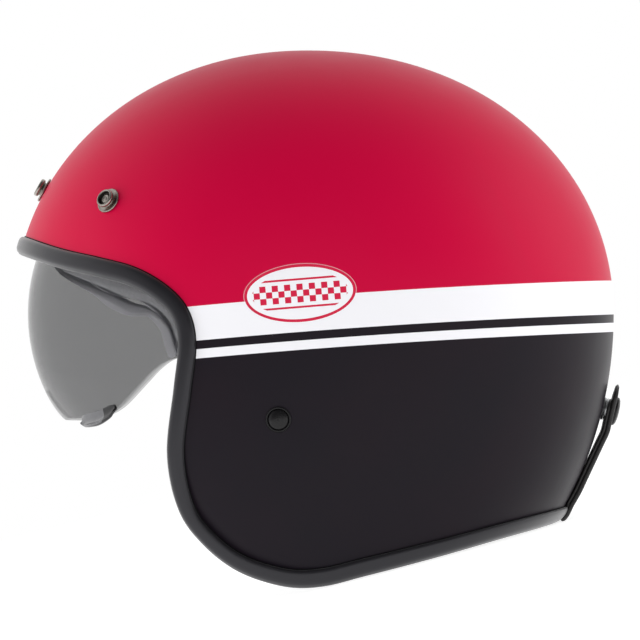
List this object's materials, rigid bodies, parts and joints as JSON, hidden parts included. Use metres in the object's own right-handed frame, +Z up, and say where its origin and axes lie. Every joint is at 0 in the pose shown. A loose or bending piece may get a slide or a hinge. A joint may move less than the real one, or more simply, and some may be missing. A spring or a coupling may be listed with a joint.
{
  "type": "open face motorcycle helmet",
  "caption": "Open face motorcycle helmet with a drop-down smoked visor, brow snap studs, padded liner, ratchet chin strap and a goggle strap loop at the nape.",
  "frame": {"origin": "on the table under the middle of the helmet: the centre of the footprint of its bounding box, with the helmet set down on both cheek lobes and the nape", "axes": "-Y is the way the wearer looks, +X is the wearer's left, +Z is up from the table"},
  "size_m": [0.228, 0.2614, 0.2377],
  "materials": {
    "shell_paint": "satin red crown over white stripes and a matte black lower half",
    "edge_rubber": "matte",
    "impact_foam": "moulded bead foam",
    "liner_fabric": "brushed knit",
    "smoke_lens": "smoked, hard coated",
    "lens_tab": "polished",
    "black_plastic": "satin",
    "black_metal": "satin black",
    "antique_nickel": "aged nickel",
    "steel": "zinc plated",
    "leather": "grained black",
    "webbing": "woven nylon",
    "red_ribbon": "woven"
  },
  "bodies": {
    "helmet": {"outer_shell": "shell_paint", "edge_trim": "edge_rubber", "eps_liner": "impact_foam", "liner_edge_binding": "liner_fabric", "crown_liner": "liner_fabric", "cheek_pad_left": "liner_fabric", "cheek_pad_right": "liner_fabric", "neck_roll": "liner_fabric", "visor_pivot_plates": "black_plastic", "visor_friction_washers": "steel", "visor_pivot_screws": "steel", "brow_snap_studs": "antique_nickel", "brow_snap_rivets": "antique_nickel", "brow_snap_washers": "steel", "strap_rivet_rings": "black_metal", "strap_rivet_caps": "black_metal", "strap_anchor_plates": "steel", "strap_rivet_washers": "steel", "strap_root_left": "webbing", "strap_root_right": "webbing", "goggle_strap_root": "leather", "goggle_strap_rivet": "antique_nickel", "goggle_snap_stud": "steel", "goggle_stud_rivet": "steel"},
    "visor": {"visor_lens": "smoke_lens", "visor_tab": "lens_tab"},
    "goggle_loop": {"goggle_strap": "leather", "goggle_snap_cap": "black_metal", "goggle_snap_socket": "steel"},
    "chin_left": {"chin_strap_left": "webbing", "buckle_housing": "steel", "lever_pin": "steel", "lever_spring": "steel"},
    "lever": {"buckle_lever": "black_plastic", "release_ribbon": "red_ribbon"},
    "chin_right": {"chin_strap_right": "webbing", "ratchet_tongue": "steel", "chin_comfort_sleeve": "liner_fabric"}
  },
  "joints": [
    {"name": "visor_drop", "type": "hinge", "parent": "helmet", "child": "visor", "pos_m": [0, -0.02685, 0.11733], "axis": [-1, 0, 0], "range_deg": [0, 43]},
    {"name": "goggle_loop_fold", "type": "hinge", "parent": "helmet", "child": "goggle_loop", "pos_m": [0, 0.09654, 0.01316], "axis": [-1, 0, 0], "range_deg": [0, 100]},
    {"name": "chin_left_swing", "type": "hinge", "parent": "helmet", "child": "chin_left", "pos_m": [0.061, -0.03953, 0.037], "axis": [0, -0.9698, 0.2441], "range_deg": [0, 180]},
    {"name": "chin_right_swing", "type": "hinge", "parent": "helmet", "child": "chin_right", "pos_m": [-0.061, -0.03953, 0.037], "axis": [0, 0.9698, -0.2441], "range_deg": [0, 180]},
    {"name": "lever_release", "type": "hinge", "parent": "chin_left", "child": "lever", "pos_m": [0.06541, -0.01879, 0.11944], "axis": [0, 0.9698, -0.2441], "range_deg": [0, 25], "stiffness_Nm_per_rad": 0.06, "springref_deg": -14.32}
  ]
}
